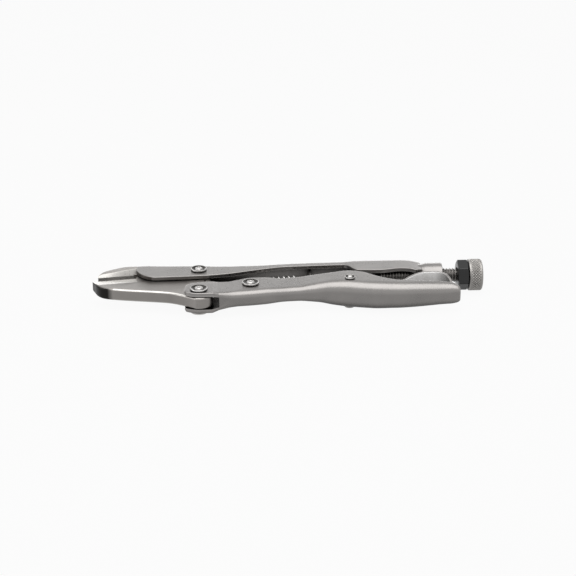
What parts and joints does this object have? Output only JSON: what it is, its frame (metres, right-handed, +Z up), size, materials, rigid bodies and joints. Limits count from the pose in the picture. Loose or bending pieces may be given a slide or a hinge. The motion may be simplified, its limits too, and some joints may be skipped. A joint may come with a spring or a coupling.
{
  "type": "locking pinch-off pliers",
  "caption": "Locking pliers with flat pinching jaws, two bent-steel handles, over-centre toggle link, release lever, tension spring, and an adjusting screw with lock nut and knob.",
  "frame": {"origin": "middle of the bounding box on the plane that the tool's lowest points touch as it lies on its side", "axes": "+X along the adjusting screw from the jaws to the knob, +Y from the lever handle to the fixed handle, +Z up, square to the plane in which the tool opens"},
  "size_m": [0.2066, 0.0432, 0.0176],
  "materials": {
    "nickel_sheet": "satin nickel plate on bent sheet steel",
    "nickel_forging": "satin nickel plate on forged steel",
    "bright_steel": "bright plated steel",
    "spring_steel": "plated spring wire",
    "thread_steel": "plated steel with a rolled thread",
    "knurled_steel": "plated steel with a diamond knurl",
    "black_steel": "black oxide on steel"
  },
  "bodies": {
    "fixed_side": {"fixed_handle": "nickel_sheet", "upper_jaw": "nickel_forging", "jaw_pivot_rivet": "bright_steel", "tension_spring": "spring_steel"},
    "lower_jaw": {"lower_jaw": "nickel_forging"},
    "lever": {"lever_handle": "nickel_sheet", "lever_pivot_rivet": "bright_steel", "link_pivot_rivet": "bright_steel", "release_pivot_pin": "bright_steel"},
    "link": {"toggle_link": "nickel_forging"},
    "release": {"release_lever": "nickel_sheet"},
    "screw": {"adjusting_screw": "thread_steel"},
    "knob": {"adjusting_knob": "knurled_steel"},
    "nut": {"lock_nut": "black_steel"}
  },
  "joints": [
    {"name": "jaw_open", "type": "hinge", "parent": "fixed_side", "child": "lower_jaw", "pos_m": [-0.04755, 0.01194, 0.0088], "axis": [0, 0, 1], "range_deg": [0, 14], "deforming": ["tension_spring"]},
    {"name": "lever_swing", "type": "hinge", "parent": "lower_jaw", "child": "lever", "pos_m": [-0.04755, -0.01566, 0.0088], "axis": [0, 0, 1], "range_deg": [-52, 0]},
    {"name": "link_swing", "type": "hinge", "parent": "lever", "child": "link", "pos_m": [-0.02065, -0.00586, 0.0088], "axis": [0, 0, 1], "range_deg": [0, 54]},
    {"name": "release_press", "type": "hinge", "parent": "lever", "child": "release", "pos_m": [0.03105, -0.00816, 0.0088], "axis": [0, 0, 1], "range_deg": [-6, 0]},
    {"name": "screw_travel", "type": "slide", "parent": "fixed_side", "child": "screw", "axis": [1, 0, 0], "range_m": [0, 0.0056]},
    {"name": "knob_turn", "type": "hinge", "parent": "screw", "child": "knob", "pos_m": [0.09615, 0.01194, 0.0088], "axis": [1, 0, 0], "range_deg": [0, 1080]},
    {"name": "nut_travel", "type": "slide", "parent": "screw", "child": "nut", "axis": [1, 0, 0], "range_m": [-0.0079, 0]}
  ],
  "couplings": [
    {"joint": "lever_swing", "follows": "jaw_open", "ratio": -3.7},
    {"joint": "link_swing", "follows": "jaw_open", "ratio": 3.85},
    {"joint": "screw_travel", "follows": "knob_turn", "m_per_rad": 0.00025465}
  ]
}
